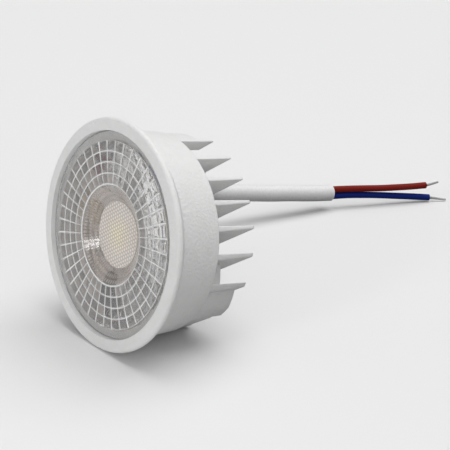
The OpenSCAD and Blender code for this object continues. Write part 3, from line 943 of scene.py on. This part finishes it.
def smooth_line(name, points, diameter, material):
    """A round cord along points in the row frame, with closed ends."""
    data = bpy.data.curves.new(name, "CURVE")
    data.dimensions = "3D"
    data.bevel_depth = diameter / 2
    data.bevel_resolution = ROUND_STEPS
    data.use_fill_caps = True
    data.resolution_u = BEND_STEPS
    spline = data.splines.new("BEZIER")
    spline.bezier_points.add(len(points) - 1)
    for knot, place in zip(spline.bezier_points, points):
        knot.co = place
        knot.handle_left_type = knot.handle_right_type = "AUTO"
    data.materials.append(material)
    return add_object(name, data)


def length_of(cord):
    return sum(spline.calc_length() for spline in cord.data.splines)


vinyl = plain_finish("sheath_white", (0.82, 0.82, 0.82), 0.45, specular=0.3)
sheath = smooth_line("lead_sheath", inner + in_metres(SHEATH_ROUTE), SHEATH_D * MM, vinyl)
live = smooth_line("lead_live_core", in_metres(LIVE_ROUTE), CORE_D * MM, brown)
neutral = smooth_line("lead_neutral_core", in_metres(NEUTRAL_ROUTE), CORE_D * MM, blue)
lengths = [round(length_of(cord) / MM, 1) for cord in (sheath, live, neutral)]
print("sheath and cores in mm:", lengths)

# %% [markdown]
# ## Bare ends
# The cores are stripped at their ends, and what is left bare is a bundle of fine tinned wires that
# someone has twisted between two fingers, so it is slimmer at the tip. One thick wire would look
# like a pin. The tree copies the end's path once for each wire, moves the copies out to a circle
# whose angle turns along the way and whose radius shrinks, and sweeps a small ring along each. One
# wire stays in the middle.

# %% Twisted wires
WIRES = {"wires": 7, "steps": 24, "lay": 0.29 * MM, "wire": 0.17 * MM, "turns": 0.9, "pinch": 0.45}
RING_SIDES = 8


def wire_offset(graph, group, number):
    """How far a wire lies beside the path; wire number 0 lies on it."""
    share = graph.node("GeometryNodeSplineParameter")["Factor"]
    out = (number > HALF) * group["lay"] * (1 - group["pinch"] * share)
    angle = (number / (group["wires"] - 1) + group["turns"] * share) * FULL_TURN
    normal = graph.node("GeometryNodeInputNormal")["Normal"]
    tangent = graph.node("GeometryNodeInputTangent")["Tangent"]
    side = vector_math(graph, "CROSS_PRODUCT", tangent, normal)["Vector"]
    ways = ((normal, angle.math("COSINE")), (side, angle.math("SINE")))
    parts = [graph.node("ShaderNodeVectorMath", {"operation": "SCALE"}, {
        "Vector": way, "Scale": out * reach})["Vector"] for way, reach in ways]
    return vector_math(graph, "ADD", *parts)["Vector"]


def twisted_wires(sizes):
    """Lays copies of a path round it as twisted wires that draw together at its end."""
    graph, group = new_tree("twisted_wires", sizes)
    path = graph.node("GeometryNodeResampleCurve", {}, {
        "Curve": group["Geometry"], "Count": group["steps"]})["Curve"]
    copies = graph.node("GeometryNodeDuplicateElements", {"domain": "SPLINE"}, {
        "Geometry": path, "Amount": group["wires"]})
    offset = wire_offset(graph, group, copies["Duplicate Index"])
    laid = graph.node("GeometryNodeSetPosition", {}, {
        "Geometry": copies["Geometry"], "Offset": offset})["Geometry"]
    ring = graph.node("GeometryNodeCurvePrimitiveCircle", {}, {
        "Resolution": RING_SIDES, "Radius": group["wire"]})["Curve"]
    wires = graph.node("GeometryNodeCurveToMesh", {}, {
        "Curve": laid, "Profile Curve": ring, "Fill Caps": True})["Mesh"]
    return close_tree(graph, wires, tin)


def bare_end(name, route, tree):
    """The stripped end of a core: one path, grown into its wires."""
    path = smooth_line(name + "_path", in_metres(route), 0, tin)
    return grow(name, path, tree, WIRES)


wire_tree = twisted_wires(WIRES)
live_bare = bare_end("lead_live_strands", LIVE_STRAND_ROUTE, wire_tree)
neutral_bare = bare_end("lead_neutral_strands", NEUTRAL_STRAND_ROUTE, wire_tree)

# %% [markdown]
# ## Cords
# The lead's pieces take the place of the CAD solids of the same name and ride on the module, and
# the twisted wires take the place of the strands.

# %% Cords
for piece, node, slot in (
        (sheath, "sheath", "sheath_white"),
        (live, "live_core", "core_brown"), (neutral, "neutral_core", "core_blue"),
        (live_bare, "live_strands", "tinned"), (neutral_bare, "neutral_strands", "tinned")):
    stand_for(piece, node)
print("cords lie on the module:", [cord.name for cord in (sheath, live, neutral)])

# %% [markdown]
# ## Sizes
# The box of the CAD model was kept at the start. The box of the dressed model should agree with it
# to a fraction of a millimetre, because the pieces built here follow the solids that they replace.

# %% Sizes and end
visual_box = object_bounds()
for name, cad_corner, corner in zip(("low", "high"), cad_box, visual_box):
    gaps = [round((b - a) / MM, 2) for a, b in zip(cad_corner, corner)]
    print("the", name, "corners differ by mm:", gaps)
